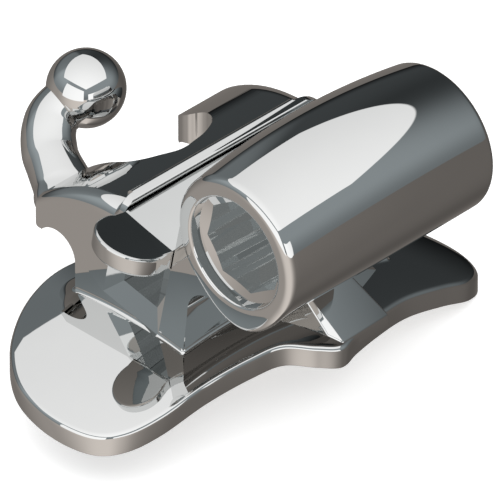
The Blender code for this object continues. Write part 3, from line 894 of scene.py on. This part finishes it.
def polish_group():
    """Faint polishing marks and soft haze, shared by all the steel."""
    group = bpy.data.node_groups.get("polish marks")
    if group:
        return group
    group = bpy.data.node_groups.new("polish marks", "ShaderNodeTree")
    for name, way, kind in (
        ("Scale", "INPUT", "Float"),
        ("Least", "INPUT", "Float"),
        ("Most", "INPUT", "Float"),
        ("Tone", "INPUT", "Color"),
        ("Color", "OUTPUT", "Color"),
        ("Roughness", "OUTPUT", "Float"),
        ("Height", "OUTPUT", "Float"),
    ):
        group.interface.new_socket(name=name, in_out=way, socket_type="NodeSocket" + kind)
    nodes = group.nodes
    link = group.links.new
    given = nodes.new("NodeGroupInput")
    made = nodes.new("NodeGroupOutput")
    where = nodes.new("ShaderNodeTexCoord")

    haze = nodes.new("ShaderNodeTexNoise")
    fill(haze, {"Detail": 3.0, "Roughness": 0.55})
    link(where.outputs["Object"], haze.inputs["Vector"])
    link(given.outputs["Scale"], haze.inputs["Scale"])
    spread = nodes.new("ShaderNodeMapRange")
    fill(spread, {"From Min": 0.35, "From Max": 0.70})
    link(haze.outputs["Fac"], spread.inputs["Value"])
    link(given.outputs["Least"], spread.inputs["To Min"])
    link(given.outputs["Most"], spread.inputs["To Max"])
    link(spread.outputs["Result"], made.inputs["Roughness"])

    stretch = nodes.new("ShaderNodeMapping")
    fill(stretch, {"Scale": (1.0, 14.0, 14.0)})
    link(where.outputs["Object"], stretch.inputs["Vector"])
    lines = nodes.new("ShaderNodeTexNoise")
    fill(lines, {"Scale": 2600.0, "Detail": 4.0})
    link(stretch.outputs["Vector"], lines.inputs["Vector"])
    link(lines.outputs["Fac"], made.inputs["Height"])

    darker = nodes.new("ShaderNodeMix")
    darker.data_type = "RGBA"
    darker.blend_type = "MULTIPLY"
    fill(darker, {"B": (0.93, 0.93, 0.935, 1)})
    link(haze.outputs["Fac"], darker.inputs["Factor"])
    link(given.outputs["Tone"], darker.inputs["A"])
    link(darker.outputs["Result"], made.inputs["Color"])
    return group


CAST_HAZE = 700.0  # scale of the haze's noise on the casting
STRIP_HAZE = 900.0  # and on the cap
GRAIN_DEPTH = 0.002 * MM
# Tint of the painted glow in the bores
PAINTED_GLOW_TINT = (0.90, 0.98, 1.0, 1)


def steel(name, colour, scale, glow=0.0):
    """Mirror-polished steel with a faint haze. In a bore, a painted glow that mirrored rays see stands for
    light mirrored many times.
    """
    finish = settings("finish")
    material, tree, surface = new_material(name)
    marks = tree.nodes.new("ShaderNodeGroup")
    marks.node_tree = polish_group()
    fill(marks, {"Scale": scale, "Least": finish.haze / 2, "Most": finish.haze, "Tone": (*colour, 1)})
    bump = tree.nodes.new("ShaderNodeBump")
    fill(bump, {"Strength": finish.grain, "Distance": GRAIN_DEPTH})
    fill(surface, {"Metallic": 1.0})
    link = tree.links.new
    link(marks.outputs["Color"], surface.inputs["Base Color"])
    link(marks.outputs["Roughness"], surface.inputs["Roughness"])
    link(marks.outputs["Height"], bump.inputs["Height"])
    link(bump.outputs["Normal"], surface.inputs["Normal"])
    # Painted glow in a bore: light given off to mirrored rays alone, in place of light mirrored many times
    if glow:
        shine(tree, surface, "Is Glossy Ray", glow, PAINTED_GLOW_TINT)
    material.diffuse_color = (*colour, 1)
    return material


# Operators


def dress(piece, node):
    """Put a finished piece in its place and let it stand for its node."""
    piece.data.transform(Matrix.Translation(mouth_centre()))
    piece.data.shade_smooth()
    piece.data.set_sharp_from_angle(angle=radians(18))
    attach(piece, BODY_NAME)
    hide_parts(node)


class BUCCAL_OT_casting(bpy.types.Operator):
    """Make the one-piece casting: pad, body, wings, hook and headgear tube"""

    bl_idname = "buccal.casting"
    bl_label = "Tube Casting"

    def execute(self, context):
        finish = settings("finish")
        outside = steel("mirror_steel", finish.casting, CAST_HAZE)
        # The bores' steel carries a painted glow, seen by mirrored rays alone
        inside = steel("bore_steel_painted_glow", finish.casting, CAST_HAZE, finish.bore_painted_glow)
        casting = build_body()
        casting.data.materials.append(outside)
        for make, operation, material in (
            (build_foot, "UNION", outside),
            (build_plan, "INTERSECT", outside),
            (build_rear_undercut, "DIFFERENCE", outside),
            (build_mesial_roll, "DIFFERENCE", outside),
            (build_distal_roll, "DIFFERENCE", outside),
            (build_pad, "UNION", outside),
            (build_buttress, "UNION", outside),
            (build_tube, "UNION", outside),
            (build_hook, "UNION", outside),
            (build_lumen, "DIFFERENCE", inside),
            (build_slot, "DIFFERENCE", inside),
            (build_mouth, "DIFFERENCE", outside),
            (build_funnel, "DIFFERENCE", inside),
        ):
            tool = make()
            tool.data.materials.append(material)
            combine(casting, tool, operation)
        dress(casting, "tube_casting")
        return {"FINISHED"}


class BUCCAL_OT_cap(bpy.types.Operator):
    """Make the slot cap with its round tab"""

    bl_idname = "buccal.cap"
    bl_label = "Slot Cap"

    def execute(self, context):
        colour = settings("finish").cap
        cap = build_cap()
        cap.data.materials.append(steel("strip_steel", colour, STRIP_HAZE))
        dress(cap, "slot_cap")
        return {"FINISHED"}


class NodeMath:
    """Short way to write sums of node sockets."""

    def __init__(self, tree):
        self.tree = tree
        self.link = tree.links.new

    def __call__(self, operation, *values):
        node = self.tree.nodes.new("ShaderNodeMath")
        node.operation = operation
        for socket, value in zip(node.inputs, values):
            if isinstance(value, (int, float)):
                socket.default_value = value
            else:
                self.link(value, socket)
        return node.outputs[0]

    def step(self, value, low, high, start=0.0, end=1.0):
        """Smooth step of a socket between two values."""
        node = self.tree.nodes.new("ShaderNodeMapRange")
        node.interpolation_type = "SMOOTHSTEP"
        self.link(value, node.inputs["Value"])
        fill(node, {"From Min": low, "From Max": high, "To Min": start, "To Max": end})
        return node.outputs["Result"]

    def blend(self, factor, first, second):
        """Between two numbers."""
        return self("ADD", first, self("MULTIPLY", factor, self("SUBTRACT", second, first)))

    def scaled(self, colour, strength):
        """A colour of the sidebar times a strength."""
        node = self.tree.nodes.new("ShaderNodeVectorMath")
        node.operation = "SCALE"
        fill(node, {0: tuple(colour)})
        self.link(strength, node.inputs["Scale"])
        return node.outputs[0]

    def mix(self, factor, first, second):
        """Between two colours."""
        node = self.tree.nodes.new("ShaderNodeMix")
        node.data_type = "RGBA"
        for name, value in (("Factor", factor), ("A", first), ("B", second)):
            self.link(value, node.inputs[name])
        return node.outputs["Result"]


PANEL_BLUR = 0.008  # half width of a panel's soft edge, as a slope


def panel_mask(do, ahead, aside, up, sides, heights):
    """1 on a rectangular panel of the studio, seen from the part, and 0 round it."""
    positive = do("MAXIMUM", ahead, 0.0001)
    across = do("DIVIDE", aside, positive)
    above = do("DIVIDE", up, positive)
    mask = do.step(ahead, 0.0, 0.02)
    for value, (low, high) in ((across, sides), (above, heights)):
        mask = do("MULTIPLY", mask, do.step(value, low - PANEL_BLUR, low + PANEL_BLUR))
        mask = do("MULTIPLY", mask, do.step(value, high - PANEL_BLUR, high + PANEL_BLUR, 1.0, 0.0))
    return mask


def studio_world():
    """The studio that the metal mirrors: a ceiling panel, two light walls, dim walls and the floor."""
    look = settings("studio")
    world = bpy.data.worlds.new("studio")
    bpy.context.scene.world = world
    world.use_nodes = True
    tree = world.node_tree
    tree.nodes.clear()
    do = NodeMath(tree)
    link = do.link
    where = tree.nodes.new("ShaderNodeTexCoord")
    parts = tree.nodes.new("ShaderNodeSeparateXYZ")
    link(where.outputs["Generated"], parts.inputs[0])
    x, y, z = parts.outputs
    level = do("SQRT", do("ADD", do("MULTIPLY", x, x), do("MULTIPLY", y, y)))
    level = do("MAXIMUM", level, 0.0001)
    towards = do("DIVIDE", do("MULTIPLY", do("ADD", x, y), -sqrt(0.5)), level)

    # The walls are lighter upwards and on the near side. The gum side and one corner are lighter still.
    beside = do("DIVIDE", y, level)
    facing = do("DIVIDE", do("MULTIPLY", do("SUBTRACT", y, x), sqrt(0.5)), level)
    far = do.step(z, -0.02, 0.22, 0.03, 0.23)
    far = do("MULTIPLY", far, do.step(beside, 0.45, 0.80, 0.55, 0.85))
    far = do("MULTIPLY", far, do.step(beside, 0.81, 0.88, 1.0, 3.0))
    near = do.step(z, -0.02, 0.40, 0.65, 1.10)
    corner = do.step(z, 0.0, 0.5, 0.85, 1.35)
    strength = do.blend(do.step(towards, -1.0, 0.1), far, near)
    strength = do.blend(do.step(facing, 0.86, 0.97), strength, corner)

    # The floor is lightest towards the camera and darkest past the tube.
    pool = do("ADD", do.step(towards, -1.0, 0.0, 0.42, 0.85), do.step(towards, 0.0, 1.0, 0.0, 0.95))
    pool = do("MULTIPLY", pool, do.step(facing, -0.90, 0.0, 0.42, 1.0))
    horizon = do.step(z, -0.012, 0.004)
    colour = do.mix(horizon, do.scaled(look.ground, pool), do.scaled(look.wall, strength))

    # A ceiling panel and two wall panels, whose sides are slopes as seen from the part.
    glow = do("ADD", do("MULTIPLY", towards, do("MULTIPLY", level, 0.25)), 1.25)
    bright = do.scaled(look.panel, glow)
    for ahead, aside, up, sides, heights in (
        (z, x, y, (-1.225, 0.97), (-1.225, 1.225)),
        (do("MULTIPLY", x, -1.0), y, z, (-0.80, 0.42), (-0.10, 0.59)),
        (do("MULTIPLY", y, -1.0), x, z, (-0.80, 0.43), (0.0, 0.36)),
    ):
        colour = do.mix(panel_mask(do, ahead, aside, up, sides, heights), colour, bright)

    room = tree.nodes.new("ShaderNodeBackground")
    link(colour, room.inputs["Color"])
    backdrop = tree.nodes.new("ShaderNodeBackground")
    fill(backdrop, {"Color": (1, 1, 1, 1)})
    ray = tree.nodes.new("ShaderNodeLightPath")
    choose = tree.nodes.new("ShaderNodeMixShader")
    out = tree.nodes.new("ShaderNodeOutputWorld")
    link(ray.outputs["Is Camera Ray"], choose.inputs[0])
    link(room.outputs[0], choose.inputs[1])
    link(backdrop.outputs[0], choose.inputs[2])
    link(choose.outputs[0], out.inputs["Surface"])


FLOOR_LIFT = 0.55  # light that brings the floor up to the white background


def floor_material():
    """Pale floor that reads as white to the camera and keeps a soft shadow."""
    look = settings("studio")
    material, tree, surface = new_material("pale_floor")
    link = tree.links.new
    fill(surface, {"Roughness": 0.9, "Specular IOR Level": 0.0})
    speck = tree.nodes.new("ShaderNodeTexNoise")
    fill(speck, {"Scale": 400.0})
    tint = tree.nodes.new("ShaderNodeMix")
    tint.data_type = "RGBA"
    fill(tint, {"A": (*look.floor, 1), "B": (*(value * 0.98 for value in look.floor), 1)})
    link(speck.outputs["Fac"], tint.inputs["Factor"])
    link(tint.outputs["Result"], surface.inputs["Base Color"])
    shine(tree, surface, "Is Camera Ray", FLOOR_LIFT, (1, 1, 1, 1))
    return material


FLOOR_GAP = 0.002 * MM
SOFTBOX_PLACE = Vector((-12, -8, 34)) * MM
LENS = 1500  # so long that the picture has nearly no perspective, as the photo has none
SENSOR = 36


class BUCCAL_OT_stage(bpy.types.Operator):
    """Lay the pale floor, set the studio light and place the camera"""

    bl_idname = "buccal.stage"
    bl_label = "Studio"

    def execute(self, context):
        look = settings("studio")
        scene = context.scene
        mesh = bmesh.new()
        bmesh.ops.create_grid(mesh, x_segments=8, y_segments=8, size=look.floor_reach)
        floor = finish_mesh("studio_floor", mesh)
        floor.location.z = CAD_BOX[0][2] - FLOOR_GAP
        floor.data.materials.append(floor_material())
        floor.visible_glossy = False

        data = bpy.data.lights.new("softbox", "AREA")
        data.shape = "SQUARE"
        data.size = look.softbox
        data.energy = look.softbox_power
        softbox = bpy.data.objects.new("softbox", data)
        softbox.location = SOFTBOX_PLACE
        softbox.rotation_euler = (-softbox.location).to_track_quat("-Z", "Y").to_euler()
        softbox.visible_glossy = False
        scene.collection.objects.link(softbox)
        studio_world()

        camera = bpy.data.cameras.new("camera")
        camera.lens = LENS
        camera.sensor_width = SENSOR
        view = bpy.data.objects.new("camera", camera)
        level = cos(look.elevation)
        back = Vector((sin(look.azimuth) * level, -cos(look.azimuth) * level, sin(look.elevation)))
        turned = (-back).to_track_quat("-Z", "Y")
        aim = mouth_centre() + turned @ Vector((look.aim_right, look.aim_up, 0))
        middle = Vector(((CAD_BOX[0][i] + CAD_BOX[1][i]) / 2 for i in range(3)))
        aim += back * (middle - aim).dot(back)
        distance = look.frame_width * camera.lens / camera.sensor_width
        view.location = aim + back * distance
        view.rotation_mode = "QUATERNION"
        view.rotation_quaternion = turned
        camera.clip_start = distance / 10
        camera.clip_end = distance * 4
        scene.collection.objects.link(view)
        scene.camera = view
        scene.view_settings.view_transform = "Standard"
        return {"FINISHED"}


class BUCCAL_PT_sidebar(bpy.types.Panel):
    """Sizes, finishes and steps of the buccal tube"""

    bl_label = "Buccal Tube"
    bl_space_type = "VIEW_3D"
    bl_region_type = "UI"
    bl_category = "Buccal Tube"

    def draw(self, context):
        layout = self.layout
        for operator in OPERATORS:
            layout.operator(operator.bl_idname)
        for name, group in GROUPS.items():
            box = layout.box()
            box.label(text=name.replace("_", " "))
            for key in group.__annotations__:
                box.prop(getattr(context.scene, name), key)


OPERATORS = (BUCCAL_OT_casting, BUCCAL_OT_cap, BUCCAL_OT_stage)
CLASSES = (*GROUPS.values(), *OPERATORS, BUCCAL_PT_sidebar)


def register():
    for kind in CLASSES:
        bpy.utils.register_class(kind)
    for name, group in GROUPS.items():
        setattr(bpy.types.Scene, name, PointerProperty(type=group))


def unregister():
    for name in GROUPS:
        delattr(bpy.types.Scene, name)
    for kind in reversed(CLASSES):
        bpy.utils.unregister_class(kind)


def main():
    register()
    bpy.ops.buccal.casting()
    bpy.ops.buccal.cap()
    bpy.ops.buccal.stage()


if __name__ == "__main__":
    main()
